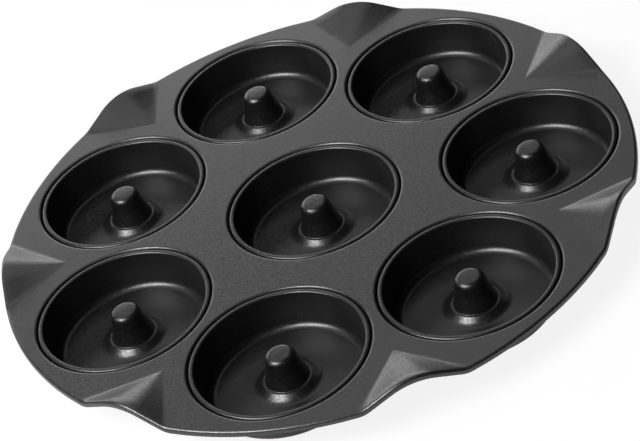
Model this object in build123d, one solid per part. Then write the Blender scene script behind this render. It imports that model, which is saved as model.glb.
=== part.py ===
from build123d import *
from math import cos, radians, sin
import os

# Round baking sheet: one pressed carrier plate with ring cups locked into its holes.
# Millimetres, +Z up. The origin is on the plate's axis, in the plane that the cups stand on.

# Carrier plate
plate_radius = 160.0          # over the turned-down rim
plate_sheet = 0.8             # sheet thickness
rim_drop = 2.8                # height of the turned-down rim
hole_radius = 44.0            # inside of the collar that takes a cup
collar_depth = 4.0            # how far the collar reaches below the plate's top
collar_bend = 1.3             # rounding from the plate's top down into the collar
collar_land = 0.4             # flat ring left beside that rounding

# Raised folds that stiffen the rim between the outer cups
fold_start_radius = 127.0     # where a fold rises out of the flat plate
fold_half_width = 24.5        # from its ridge to the crease, measured at the rim
fold_rise = 9.9               # where its two flanks would meet above the plate, at the rim
fold_crest = 30.0             # rounding of the ridge at the rim

# Cup places
outer_cups = 7
pitch_radius = 108.6          # from the plate's axis to the middle of an outer cup
first_cup_angle = 90.0        # the first outer cup lies on +Y, and the others follow clockwise

# Ring cup, drawn from one sheet
cup_sheet = 0.6               # sheet thickness
cup_depth = 19.2              # from the plate's top down to the top of the cup's floor
bead_width = 3.1              # the rounded lip inside the collar
bead_round = 1.1              # rounding at both sides of the lip's flat top
bead_sink = 0.3               # how far the lip lies below the plate's top
wall_draft = 2.7              # how much the wall narrows from lip to floor
floor_round = 4.0             # rounding between floor and wall
lock_width = 2.0              # flare of the skirt under the collar's lower edge

# Hollow peg in the middle of a cup
peg_sink = 1.0                # how far its top lies below the plate's top
peg_top_radius = 6.9          # where top and flank would meet
peg_top_round = 2.2           # rounding between them
peg_foot_radius = 11.2        # where the flank meets the ledge
peg_foot_round = 0.4          # rounding between them
ledge_width = 0.7             # narrow flat ring round the peg's foot
ledge_height = 3.1            # ledge above the cup's floor
ledge_round = 0.8             # rounding at the ledge's outer edge
step_run = 3.9                # from the ledge's edge out to where its slope would meet the floor
step_round = 4.8              # wide rounding between that slope and the floor

# Clearances
seat_gap = 0.1                # between a cup's skirt and the collar, beside and below it
cut_margin = 1.0              # how far a cutting body runs past what it cuts

# Worked out from the sizes above
plate_top = cup_depth + cup_sheet
skirt_radius = hole_radius - seat_gap
bead_inner = skirt_radius - bead_width
bead_top = plate_top - bead_sink
wall_foot = bead_inner - wall_draft
lock_top = plate_top - collar_depth - seat_gap
lock_radius = skirt_radius + lock_width
lock_bend = 3 * seat_gap                # tight enough to pass the collar's square edge
peg_top = plate_top - peg_sink
ledge_top = cup_sheet + ledge_height
ledge_edge = peg_foot_radius + ledge_width
floor_start = ledge_edge + step_run
hole_cut_radius = hole_radius + collar_bend + collar_land


def turned_sheet(corners, rounds, sheet):
    """A sheet turned about Z. The corners (radius, height) run along its upper side."""
    points = [Vector(radius, 0, height) for radius, height in corners]
    upper_side = FilletPolyline(*points, radius=rounds).wire()
    section = Face(upper_side.offset_2d(sheet, side=Side.RIGHT))
    return revolve(section, Axis.Z)


def make_cup():
    """One ring cup on its own axis: peg, ledge, floor, wall, rounded lip and locked skirt."""
    corners = [
        (0, peg_top),
        (peg_top_radius, peg_top),
        (peg_foot_radius, ledge_top),
        (ledge_edge, ledge_top),
        (floor_start, cup_sheet),
        (wall_foot, cup_sheet),
        (bead_inner, bead_top),
        (skirt_radius, bead_top),
        (skirt_radius, lock_top),
        (lock_radius, lock_top),
    ]
    rounds = [
        peg_top_round,
        peg_foot_round,
        ledge_round,
        step_round,
        floor_round,
        bead_round,
        bead_round,
        lock_bend,
    ]
    return turned_sheet(corners, rounds, cup_sheet)


def make_collar():
    """The plate's drawn hole edge: it rounds down and ends in a short upright wall."""
    corners = [
        (hole_radius, plate_top - collar_depth),
        (hole_radius, plate_top),
        (hole_cut_radius, plate_top),
    ]
    return turned_sheet(corners, [collar_bend], plate_sheet)


def make_ridge(top):
    """One fold as a solid ridge on the height top. It grows from a point out past the rim."""
    reach = plate_radius + cut_margin
    growth = (reach - fold_start_radius) / (plate_radius - fold_start_radius)
    half_width = growth * fold_half_width
    left = Vector(reach, -half_width, top)
    peak = Vector(reach, 0, top + growth * fold_rise)
    right = Vector(reach, half_width, top)
    crest = FilletPolyline(left, peak, right, radius=growth * fold_crest)
    section = make_face(crest.edges() + [Edge.make_line(right, left)])
    return loft([section, Vertex(fold_start_radius, 0, top)])


def fold_turns():
    """A fold lies midway between each outer cup and the next."""
    step = 360 / outer_cups
    return [Rot(Z=first_cup_angle - (k + 0.5) * step) for k in range(outer_cups)]


def make_folded_disc(radius, top, depth):
    """A disc with its folds, depth thick everywhere, measured straight down from its upper side."""
    disc = Pos(0, 0, top) * Cylinder(
        plate_radius + cut_margin, depth, align=(Align.CENTER, Align.CENTER, Align.MAX)
    )
    raised = [turn * make_ridge(top) for turn in fold_turns()]
    hollow = [turn * make_ridge(top - depth) for turn in fold_turns()]
    trim = Cylinder(radius, 4 * (top + fold_rise))
    return (disc + raised - hollow) & trim


def cup_places():
    """The middle of the plate, then the ring of outer cups."""
    places = [Pos(0, 0, 0)]
    for k in range(outer_cups):
        angle = radians(first_cup_angle - k * 360 / outer_cups)
        places.append(Pos(pitch_radius * cos(angle), pitch_radius * sin(angle), 0))
    return places


def make_plate():
    """Carrier plate: folded disc with a turned-down rim, and a collar round each hole."""
    outside = make_folded_disc(plate_radius, plate_top, rim_drop)
    inside = make_folded_disc(plate_radius - plate_sheet, plate_top - plate_sheet, rim_drop)
    plate = outside - inside
    cutter = Cylinder(hole_cut_radius, 4 * plate_top)
    collar = make_collar()
    plate -= [place * cutter for place in cup_places()]
    plate += [place * collar for place in cup_places()]
    return plate


def main():
    os.makedirs("parts", exist_ok=True)
    export_step(make_plate(), "parts/carrier_plate.step")
    cup = make_cup()
    for number, place in enumerate(cup_places()):
        name = f"outer_cup_{number}" if number else "centre_cup"
        export_step(place * cup, f"parts/{name}.step")


main()
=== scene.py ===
from math import acos, atan2, cos, pi, radians, sin, sqrt, tan

import bmesh
import bpy
from mathutils import Matrix, Vector


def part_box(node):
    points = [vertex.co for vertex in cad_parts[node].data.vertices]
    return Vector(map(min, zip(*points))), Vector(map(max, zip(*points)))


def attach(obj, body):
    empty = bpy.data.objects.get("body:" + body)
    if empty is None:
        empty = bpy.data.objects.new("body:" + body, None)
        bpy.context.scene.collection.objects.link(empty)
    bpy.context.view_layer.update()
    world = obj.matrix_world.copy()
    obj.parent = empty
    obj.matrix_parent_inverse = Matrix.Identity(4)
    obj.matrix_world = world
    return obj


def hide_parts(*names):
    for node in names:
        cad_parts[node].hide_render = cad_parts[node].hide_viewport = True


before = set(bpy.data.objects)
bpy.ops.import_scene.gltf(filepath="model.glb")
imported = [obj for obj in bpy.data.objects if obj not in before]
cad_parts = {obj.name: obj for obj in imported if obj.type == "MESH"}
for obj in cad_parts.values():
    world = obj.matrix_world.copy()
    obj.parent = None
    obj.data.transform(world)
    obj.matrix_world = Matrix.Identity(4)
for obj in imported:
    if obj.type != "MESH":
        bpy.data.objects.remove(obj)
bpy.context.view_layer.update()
mm = 0.001
same = 0.02 * mm                # vertices closer than this are one
slack = 0.1 * mm                # allowed when edges or vertices are picked by their place

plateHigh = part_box("carrier_plate")[1]
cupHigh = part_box("centre_cup")[1]
outerCups = sorted(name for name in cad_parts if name.startswith("outer_cup_"))


def middleOf(node):
    low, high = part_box(node)
    return Vector(((low.x + high.x) / 2, (low.y + high.y) / 2, 0))


cupMiddles = {"centre_cup": Vector((0, 0, 0))}
cupMiddles.update({name: middleOf(name) for name in outerCups})
print("frame loaded:", len(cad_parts), "nodes")


def deselectAll():
    if bpy.context.object and bpy.context.object.mode == "EDIT":
        bpy.ops.object.mode_set(mode="OBJECT")
    bpy.ops.object.select_all(action="DESELECT")


def pickOnly(obj):
    # nothing else may be selected, because operators act on all that is
    deselectAll()
    obj.select_set(True)
    bpy.context.view_layer.objects.active = obj


def editOnly(obj):
    pickOnly(obj)
    bpy.ops.object.mode_set(mode="EDIT")


def selectVerts(obj, test):
    mesh = bmesh.from_edit_mesh(obj.data)
    bpy.ops.mesh.select_mode(type="VERT")
    for vert in mesh.verts:
        vert.select_set(False)
    for vert in mesh.verts:
        if test(vert):
            vert.select_set(True)
    mesh.select_flush(True)
    bmesh.update_edit_mesh(obj.data)


def selectEdges(obj, test):
    bpy.ops.mesh.select_mode(type="EDGE")
    mesh = bmesh.from_edit_mesh(obj.data)
    for face in mesh.faces:
        face.select_set(False)
    for edge in mesh.edges:
        edge.select_set(False)
    for edge in mesh.edges:
        if test(edge):
            edge.select_set(True)
    bmesh.update_edit_mesh(obj.data)


def middle(edge):
    return (edge.verts[0].co + edge.verts[1].co) / 2


def roundCorners(corners, steps):
    # corners are (x, y, rounding); gives the points of the line with its corners rounded
    points = []
    for i, (x, y, rounding) in enumerate(corners):
        here = Vector((x, y))
        if not rounding:
            points.append(here)
            continue
        before = (Vector(corners[i - 1][:2]) - here).normalized()
        after = (Vector(corners[i + 1][:2]) - here).normalized()
        opening = acos(max(-1, min(1, before.dot(after))))
        reach = rounding / tan(opening / 2)
        centre = here + (before + after).normalized() * rounding / sin(opening / 2)
        first = here + before * reach - centre
        last = here + after * reach - centre
        turn = first.angle_signed(last)
        for k in range(steps + 1):
            points.append(centre + Matrix.Rotation(-turn * k / steps, 2) @ first)
    return points


def drawLine(name, points):
    # one vertex from a plane, then extruded from point to point
    deselectAll()
    bpy.ops.mesh.primitive_plane_add(size=mm, location=(0, 0, 0))
    line = bpy.context.object
    line.name = name
    bpy.ops.object.mode_set(mode="EDIT")
    bpy.ops.mesh.merge(type="CENTER")
    bpy.ops.transform.translate(value=points[0])
    for here, after in zip(points, points[1:]):
        bpy.ops.mesh.extrude_vertices_move(TRANSFORM_OT_translate={"value": after - here})
    return line


def applyModifier(obj, kind, **settings):
    pickOnly(obj)
    added = obj.modifiers.new(kind.title(), kind)
    for name, value in settings.items():
        setattr(added, name, value)
    bpy.ops.object.modifier_apply(modifier=added.name)


def placeInMesh(obj):
    # the object's place becomes part of its mesh, and its origin goes back to the frame's
    pickOnly(obj)
    bpy.ops.object.transform_apply(location=True, rotation=True, scale=True)


def smooth(obj, angle):
    pickOnly(obj)
    bpy.ops.object.shade_smooth_by_angle(angle=radians(angle))


# ring cup: a turned sheet with peg, ledge, floor, wall and rounded lip
cup = {
    "sheet": 0.6 * mm,
    "pegTop": 18.8 * mm,        # height of the peg's top
    "pegTopRadius": 7.0 * mm,
    "pegTopRound": 3.2 * mm,
    "pegWaistRadius": 8.4 * mm,  # the flank flares below this
    "pegWaistHeight": 11.2 * mm,
    "pegWaistRound": 14.0 * mm,
    "pegFootRadius": 10.7 * mm,
    "ledgeHeight": 3.7 * mm,
    "ledgeEdge": 11.8 * mm,
    "ledgeRound": 0.8 * mm,
    "floorStart": 15.3 * mm,
    "stepRound": 5.8 * mm,
    "floorRound": 4.0 * mm,
    "tightBend": 0.4 * mm,      # at the peg's foot and in the skirt
    "wallFoot": 38.1 * mm,
    "lipInner": 40.8 * mm,
    "lipRound": 1.05 * mm,
    "lipOuter": 43.3 * mm,
    "skirt": 43.9 * mm,
    "lipOuterFoot": 17.6 * mm,  # below this the skirt widens towards the collar
    "skirtTop": 16.9 * mm,
    "lockHeight": 15.7 * mm,    # upper side of the flare under the collar
    "segments": 160,            # round the axis
    "roundSteps": 6,            # in every rounded corner
    "smoothAngle": 40,
}


def makeCup():
    c = cup
    corners = [
        (0, c["pegTop"], 0),
        (c["pegTopRadius"], c["pegTop"], c["pegTopRound"]),
        (c["pegWaistRadius"], c["pegWaistHeight"], c["pegWaistRound"]),
        (c["pegFootRadius"], c["ledgeHeight"], c["tightBend"]),
        (c["ledgeEdge"], c["ledgeHeight"], c["ledgeRound"]),
        (c["floorStart"], c["sheet"], c["stepRound"]),
        (c["wallFoot"], c["sheet"], c["floorRound"]),
        (c["lipInner"], cupHigh.z, c["lipRound"]),
        (c["lipOuter"], cupHigh.z, c["lipRound"]),
        (c["lipOuter"], c["lipOuterFoot"], c["tightBend"]),
        (c["skirt"], c["skirtTop"], 0),
        (c["skirt"], c["lockHeight"], c["tightBend"]),
        (cupHigh.x, c["lockHeight"], 0),
    ]
    points = [Vector((p.x, 0, p.y)) for p in roundCorners(corners, c["roundSteps"])]
    made = drawLine("centre_cup_shell", points)
    bpy.ops.mesh.select_all(action="SELECT")
    bpy.ops.mesh.spin(steps=c["segments"], angle=2 * pi, center=(0, 0, 0), axis=(0, 0, 1))
    bpy.ops.mesh.select_all(action="SELECT")
    bpy.ops.mesh.remove_doubles(threshold=same)
    bpy.ops.mesh.normals_make_consistent(inside=False)
    # the peg's top has to look up
    pegTop = Vector((0, 0, c["pegTop"]))
    mesh = bmesh.from_edit_mesh(made.data)
    top = min(mesh.faces, key=lambda face: (face.calc_center_median() - pegTop).length)
    if top.normal.z < 0:
        bpy.ops.mesh.flip_normals()
    bpy.ops.object.mode_set(mode="OBJECT")
    applyModifier(made, "SOLIDIFY", thickness=c["sheet"], offset=-1, use_even_offset=True)
    smooth(made, c["smoothAngle"])
    return made


centreCup = makeCup()
shells = {"centre_cup": centreCup}
for name in outerCups:
    # every copy has its own mesh, moved to its place
    copy = centreCup.copy()
    copy.data = centreCup.data.copy()
    copy.name = name + "_shell"
    bpy.context.scene.collection.objects.link(copy)
    copy.location = cupMiddles[name]
    placeInMesh(copy)
    shells[name] = copy
print("cups:", len(shells), "with", len(centreCup.data.polygons), "faces each")


# carrier plate: flat sheet with collars, raised folds and a turned-down rim
plate = {
    "sheet": 0.8 * mm,
    "top": 19.8 * mm,
    "rimBend": 1.4 * mm,
    "rimDrop": 2.8 * mm,
    "flat": 0.3 * mm,           # narrow flat ring beside the rim's bend
    "holeRadius": 44.0 * mm,
    "collarBend": 1.3 * mm,
    "collarLand": 0.4 * mm,
    "collarDepth": 4.0 * mm,
    "holeSegments": 112,        # round each hole
    "folds": 7,
    "rimStepsPerFold": 29,      # outline steps from one fold to the next
    "foldSteps": 7,             # outline steps from a fold's ridge to its edge
    "foldStart": 127.0 * mm,
    "foldHalfWidth": 24.5 * mm,
    "foldRise": 9.88 * mm,      # where its flanks would meet, at the rim
    "foldCrest": 30.0 * mm,
    "foldFoot": 14.0 * mm,      # rounding of its creases
    "rimPull": 1.2 * mm,        # the rim is drawn in where the sheet is folded up
    "fade": 1.4,                # above 1 the fold starts softly
    # where its rings of vertices lie, from the rim (1) in to its start (0)
    "rings": (1, 0.84, 0.68, 0.53, 0.39, 0.27, 0.17, 0.09, 0.035, 0),
    "foldRoundSteps": 8,        # in each rounding of a fold's line
    "bendSteps": 5,             # in the bends of rim and collars
    "looksUp": 0.6,             # least rise of a normal that counts as up
    "looksSideways": 0.3,       # greatest rise of one that counts as sideways
    "smoothAngle": 35,
}
rimLine = plateHigh.x - plate["rimBend"] - plate["flat"]
foldTurn = 2 * pi / plate["folds"]
foldEdge = plate["foldSteps"] * foldTurn / plate["rimStepsPerFold"]
foldAngles = [pi / 2 - (k + 0.5) * foldTurn for k in range(plate["folds"])]
holeEdge = plate["holeRadius"] + plate["collarBend"] + plate["collarLand"]


def fromNearestFold(point):
    # angle round the plate's axis between a point and the nearest fold's ridge
    angle = atan2(point.y, point.x) - foldAngles[0]
    return abs((angle + foldTurn / 2) % foldTurn - foldTurn / 2)


def makeOutline():
    # the rim's line as a circle, opened at every fold and led to the fold's start
    p = plate
    steps = p["folds"] * p["rimStepsPerFold"]
    deselectAll()
    bpy.ops.mesh.primitive_circle_add(
        vertices=steps, radius=rimLine, location=(0, 0, p["top"]), rotation=(0, 0, pi / steps)
    )
    outline = bpy.context.object
    outline.name = "carrier_plate_sheet"
    placeInMesh(outline)
    editOnly(outline)
    opened = foldEdge - slack / rimLine
    selectVerts(outline, lambda vert: fromNearestFold(vert.co) < opened)
    bpy.ops.mesh.delete(type="VERT")
    for angle in foldAngles:
        start = Matrix.Rotation(angle, 3, "Z") @ Vector((p["foldStart"], 0, 0))
        start.z = p["top"]
        for side in (-1, 1):
            corner = Matrix.Rotation(angle + side * foldEdge, 3, "Z") @ Vector((rimLine, 0, 0))
            corner.z = p["top"]
            selectVerts(outline, lambda vert: (vert.co - corner).length < slack)
            for near, far in zip(p["rings"], p["rings"][1:]):
                step = (corner - start) * (far - near)
                bpy.ops.mesh.extrude_vertices_move(TRANSFORM_OT_translate={"value": step})
    bpy.ops.mesh.select_all(action="SELECT")
    bpy.ops.mesh.remove_doubles(threshold=same)
    bpy.ops.object.mode_set(mode="OBJECT")
    return outline


def fillFlat(outline):
    # eight open rings for the holes, then one flat fill between them and the outline
    rings = []
    for spot in cupMiddles.values():
        deselectAll()
        bpy.ops.mesh.primitive_circle_add(
            vertices=plate["holeSegments"], radius=holeEdge, location=(spot.x, spot.y, plate["top"])
        )
        placeInMesh(bpy.context.object)
        rings.append(bpy.context.object)
    joinInto(outline, rings)
    editOnly(outline)
    bpy.ops.mesh.select_all(action="SELECT")
    bpy.ops.mesh.fill(use_beauty=True)
    bpy.ops.object.mode_set(mode="OBJECT")


def joinInto(target, others):
    deselectAll()
    for other in others:
        other.select_set(True)
    target.select_set(True)
    bpy.context.view_layer.objects.active = target
    bpy.ops.object.join()


def foldLine():
    # the rim's line across the fold that lies on +X
    p = plate
    edge = rimLine * sin(foldEdge)
    corners = [
        (-edge, 0, 0),
        (-p["foldHalfWidth"], 0, p["foldFoot"]),
        (0, p["foldRise"], p["foldCrest"]),
        (p["foldHalfWidth"], 0, p["foldFoot"]),
        (edge, 0, 0),
    ]
    line = roundCorners(corners, p["foldRoundSteps"])
    crest = max(point.y for point in line)
    return [
        Vector((sqrt(rimLine**2 - q.x**2) - p["rimPull"] * q.y / crest, q.x, p["top"] + q.y))
        for q in line
    ]


def makeFold():
    # the line at the rim is drawn in towards the fold's start, ring after ring
    start = (plate["foldStart"], 0, plate["top"])
    fold = drawLine("fold", foldLine())
    bpy.ops.mesh.select_all(action="SELECT")
    for near, far in zip(plate["rings"], plate["rings"][1:]):
        share = far / near
        bpy.ops.mesh.extrude_region_move()
        bpy.ops.transform.resize(value=(share, share, share ** plate["fade"]), center_override=start)
    bpy.ops.object.mode_set(mode="OBJECT")
    return fold


def addFolds(sheet):
    first = makeFold()
    copies = []
    for angle in foldAngles:
        copy = first.copy()
        copy.data = first.data.copy()
        bpy.context.scene.collection.objects.link(copy)
        copy.rotation_euler.z = angle
        placeInMesh(copy)
        copies.append(copy)
    bpy.data.objects.remove(first)
    joinInto(sheet, copies)
    editOnly(sheet)
    bpy.ops.mesh.select_all(action="SELECT")
    bpy.ops.mesh.remove_doubles(threshold=same)
    bpy.ops.mesh.select_all(action="SELECT")
    bpy.ops.mesh.normals_make_consistent(inside=False)
    mesh = bmesh.from_edit_mesh(sheet.data)
    mesh.faces.ensure_lookup_table()
    if sum(face.normal.z * face.calc_area() for face in mesh.faces) < 0:
        bpy.ops.mesh.flip_normals()


def toNearestHole(edge):
    return min((middle(edge).xy - spot.xy).length for spot in cupMiddles.values())


def turnDownRim(sheet):
    p = plate
    selectEdges(sheet, lambda edge: edge.is_boundary and toNearestHole(edge) > holeEdge + slack)
    outwards = plateHigh.x / rimLine
    bpy.ops.mesh.extrude_region_move()
    bpy.ops.transform.resize(value=(outwards, outwards, 1), center_override=(0, 0, 0))
    bpy.ops.mesh.extrude_region_move(TRANSFORM_OT_translate={"value": (0, 0, -p["rimDrop"])})
    selectEdges(sheet, isCorner)
    roundPicked(p["rimBend"])


def isCorner(edge):
    # between a face that looks up and one that looks sideways
    if len(edge.link_faces) != 2:
        return False
    side, up = sorted(abs(face.normal.z) for face in edge.link_faces)
    return up > plate["looksUp"] and side < plate["looksSideways"]


def roundPicked(width):
    bpy.ops.mesh.bevel(
        offset=width, segments=plate["bendSteps"], affect="EDGES", clamp_overlap=True
    )


def drawCollars(sheet):
    p = plate
    inwards = p["holeRadius"] / holeEdge
    for spot in cupMiddles.values():
        selectEdges(
            sheet,
            lambda edge: edge.is_boundary and (middle(edge).xy - spot.xy).length < holeEdge + slack,
        )
        bpy.ops.mesh.extrude_region_move()
        bpy.ops.transform.resize(
            value=(inwards, inwards, 1), center_override=(spot.x, spot.y, p["top"])
        )
        bpy.ops.mesh.extrude_region_move(TRANSFORM_OT_translate={"value": (0, 0, -p["collarDepth"])})
    inside = p["holeRadius"] + slack
    selectEdges(sheet, lambda edge: isCorner(edge) and toNearestHole(edge) < inside)
    roundPicked(p["collarBend"])


def makePlate():
    sheet = makeOutline()
    fillFlat(sheet)
    addFolds(sheet)
    turnDownRim(sheet)
    drawCollars(sheet)
    bpy.ops.object.mode_set(mode="OBJECT")
    applyModifier(sheet, "SOLIDIFY", thickness=plate["sheet"], offset=-1, use_even_offset=True)
    smooth(sheet, plate["smoothAngle"])
    return sheet


plateSheet = makePlate()
print("carrier plate:", len(plateSheet.data.polygons), "faces")


def linear(hexColour):
    # a colour written in sRGB, as the linear values that a shader takes
    parts = [int(hexColour[k:k + 2], 16) / 255 for k in (0, 2, 4)]
    return [p / 12.92 if p <= 0.04045 else ((p + 0.055) / 1.055) ** 2.4 for p in parts] + [1]


def addNode(tree, kind, inputs=None, **settings):
    node = tree.nodes.new(kind)
    for name, value in settings.items():
        setattr(node, name, value)
    for name, value in (inputs or {}).items():
        if isinstance(value, bpy.types.NodeSocket):
            tree.links.new(value, node.inputs[name])
        else:
            node.inputs[name].default_value = value
    return node


coating = {
    "plateColour": "161617",    # pigment under the gloss, almost black
    "cupColour": "0c0c0d",
    "plateGloss": 0.8,          # specular level, high for the mica flakes in the coat
    "cupGloss": 0.6,            # drawn deeper, so the flakes lie thinner
    "rough": 0.35,
    "roughSpread": 0.05,        # between the grain's tops and hollows
    "grainSize": 1.3 * mm,      # largest spray grain
    "grainDetail": 3,           # and three halvings of it
    "grainDepth": 0.06 * mm,
    "bump": 1.0,                # the depth counts in full
    "hollow": 0.4,              # noise level taken as the bottom of the grain
    "crown": 0.6,               # and as its top
}


def bakedCoat(name, colour, gloss):
    # non-stick coat sprayed on sheet steel and baked: a satin dark skin with a fine grain
    material = bpy.data.materials.new(name)
    material.use_nodes = True
    tree = material.node_tree
    tree.nodes.clear()
    place = addNode(tree, "ShaderNodeTexCoord").outputs["Object"]
    grain = addNode(
        tree, "ShaderNodeTexNoise",
        {"Vector": place, "Scale": 1 / coating["grainSize"], "Detail": coating["grainDetail"]},
    ).outputs["Fac"]
    tone = addNode(
        tree, "ShaderNodeMapRange",
        {"Value": grain, "From Min": coating["hollow"], "From Max": coating["crown"],
         "To Min": coating["rough"] - coating["roughSpread"],
         "To Max": coating["rough"] + coating["roughSpread"]},
    )
    bump = addNode(
        tree, "ShaderNodeBump",
        {"Height": grain, "Strength": coating["bump"], "Distance": coating["grainDepth"]},
    )
    shader = addNode(
        tree, "ShaderNodeBsdfPrincipled",
        {"Base Color": linear(colour), "Specular IOR Level": gloss,
         "Roughness": tone.outputs["Result"], "Normal": bump.outputs["Normal"]},
    )
    addNode(tree, "ShaderNodeOutputMaterial", {"Surface": shader.outputs["BSDF"]})
    return material


plateCoat = bakedCoat("bakedNonStickPlate", coating["plateColour"], coating["plateGloss"])
cupCoat = bakedCoat("bakedNonStickCups", coating["cupColour"], coating["cupGloss"])


def finishPiece(piece, node, material):
    piece.data.materials.clear()
    piece.data.materials.append(material)
    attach(piece, "root")
    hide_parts(node)


finishPiece(plateSheet, "carrier_plate", plateCoat)
for name, shell in shells.items():
    finishPiece(shell, name, cupCoat)
print("finishes set")


# white paper floor, three softboxes and a dim surround
studio = {
    "floorSize": 8.0,
    "floorSink": 0.05 * mm,     # the cups' undersides lie this far above the paper
    "floorColour": "f0f0f0",
    "seenWhite": 0.88,          # how far the floor shows as plain white to the camera
    "mirroredWhite": 0.4,       # and in the coat
    "white": 1.0,               # strength that renders as plain white
    "surround": 0.01,           # strength of the surround for all other rays
    "seenSurround": 1.0,        # how far the surround shows as plain white to the camera
    "mirroredSurround": 0.01,   # and in the coat, which a mirrored white would turn grey
    "back": {"azimuth": 98, "elevation": 18, "away": 1.9, "size": (2.1, 0.8), "radiance": 2.7},
    "top": {"azimuth": 100, "elevation": 63, "away": 1.8, "size": (1.9, 1.1), "radiance": 0.9},
    "key": {"azimuth": -157, "elevation": 47, "away": 1.6, "size": (0.9, 0.64), "radiance": 20.0},
}


neutral = (1, 1, 1, 1)


def shareOfWhite(tree, seen, mirrored):
    # how far a ray meets plain white: straight from the camera, or by way of a gloss or a glass
    rays = addNode(tree, "ShaderNodeLightPath").outputs
    bounced = addNode(
        tree, "ShaderNodeMath",
        {0: rays["Is Glossy Ray"], 1: rays["Is Transmission Ray"]}, operation="MAXIMUM",
    )
    inCoat = addNode(
        tree, "ShaderNodeMath", {0: bounced.outputs[0], 1: mirrored}, operation="MULTIPLY"
    )
    return addNode(
        tree, "ShaderNodeMath",
        {0: rays["Is Camera Ray"], 1: seen, 2: inCoat.outputs[0]}, operation="MULTIPLY_ADD",
    ).outputs[0]


def makeFloor():
    # white paper under the object, which keeps a faint shadow
    deselectAll()
    bpy.ops.mesh.primitive_plane_add(
        size=studio["floorSize"], location=(0, 0, -studio["floorSink"])
    )
    floor = bpy.context.object
    floor.name = "floor"
    paper = bpy.data.materials.new("whitePaperSweep")
    paper.use_nodes = True
    tree = paper.node_tree
    tree.nodes.clear()
    share = shareOfWhite(tree, studio["seenWhite"], studio["mirroredWhite"])
    matt = addNode(tree, "ShaderNodeBsdfDiffuse", {"Color": linear(studio["floorColour"])})
    glow = addNode(tree, "ShaderNodeEmission", {"Color": neutral, "Strength": studio["white"]})
    mixed = addNode(
        tree, "ShaderNodeMixShader",
        {0: share, 1: matt.outputs["BSDF"], 2: glow.outputs["Emission"]},
    )
    addNode(tree, "ShaderNodeOutputMaterial", {"Surface": mixed.outputs["Shader"]})
    floor.data.materials.append(paper)


def makeSurround():
    world = bpy.data.worlds.new("softSurround")
    bpy.context.scene.world = world
    world.use_nodes = True
    tree = world.node_tree
    tree.nodes.clear()
    share = shareOfWhite(tree, studio["seenSurround"], studio["mirroredSurround"])
    level = addNode(
        tree, "ShaderNodeMix",
        {0: share, 2: studio["surround"], 3: studio["white"]}, data_type="FLOAT",
    )
    air = addNode(
        tree, "ShaderNodeBackground", {"Color": neutral, "Strength": level.outputs[0]}
    )
    addNode(tree, "ShaderNodeOutputWorld", {"Surface": air.outputs["Background"]})


def addSoftbox(name, box):
    lamp = bpy.data.lights.new(name, "AREA")
    lamp.shape = "RECTANGLE"
    lamp.size, lamp.size_y = box["size"]
    # an area lamp of this energy shines with the radiance given
    lamp.energy = box["radiance"] * pi * lamp.size * lamp.size_y
    softbox = bpy.data.objects.new(name, lamp)
    bpy.context.scene.collection.objects.link(softbox)
    turn, rise = radians(box["azimuth"]), radians(box["elevation"])
    towards = Vector((cos(rise) * cos(turn), cos(rise) * sin(turn), sin(rise)))
    softbox.location = towards * box["away"]
    softbox.rotation_euler = towards.to_track_quat("Z", "Y").to_euler()
    softbox.visible_camera = False


view = {
    "lens": 133.14,             # in millimetres
    "sensor": 36,               # its width, in millimetres too
    "nearest": 0.01,            # nothing closer than this is drawn
    "distance": 1.14841,        # from the point that it looks at
    "target": (-1.97 * mm, -17.86 * mm, 19.8 * mm),
    "turn": radians(-5.655),    # from -Y, seen from above
    "height": radians(36.963),  # above the floor, as an angle
    "roll": radians(-18.534),
}


def makeCamera():
    data = bpy.data.cameras.new("camera")
    data.lens = view["lens"]
    data.sensor_width = view["sensor"]
    data.clip_start = view["nearest"]
    camera = bpy.data.objects.new("camera", data)
    bpy.context.scene.collection.objects.link(camera)
    away = Vector((
        sin(view["turn"]) * cos(view["height"]),
        -cos(view["turn"]) * cos(view["height"]),
        sin(view["height"]),
    ))
    turned = Matrix.Rotation(view["turn"], 4, "Z") @ Matrix.Rotation(pi / 2 - view["height"], 4, "X")
    rolled = turned @ Matrix.Rotation(view["roll"], 4, "Z")
    camera.matrix_world = Matrix.Translation(Vector(view["target"]) + away * view["distance"]) @ rolled
    bpy.context.scene.camera = camera


makeFloor()
makeSurround()
addSoftbox("backSoftbox", studio["back"])
addSoftbox("topSoftbox", studio["top"])
addSoftbox("keySoftbox", studio["key"])
makeCamera()
bpy.context.scene.view_settings.view_transform = "Standard"
print("studio set")
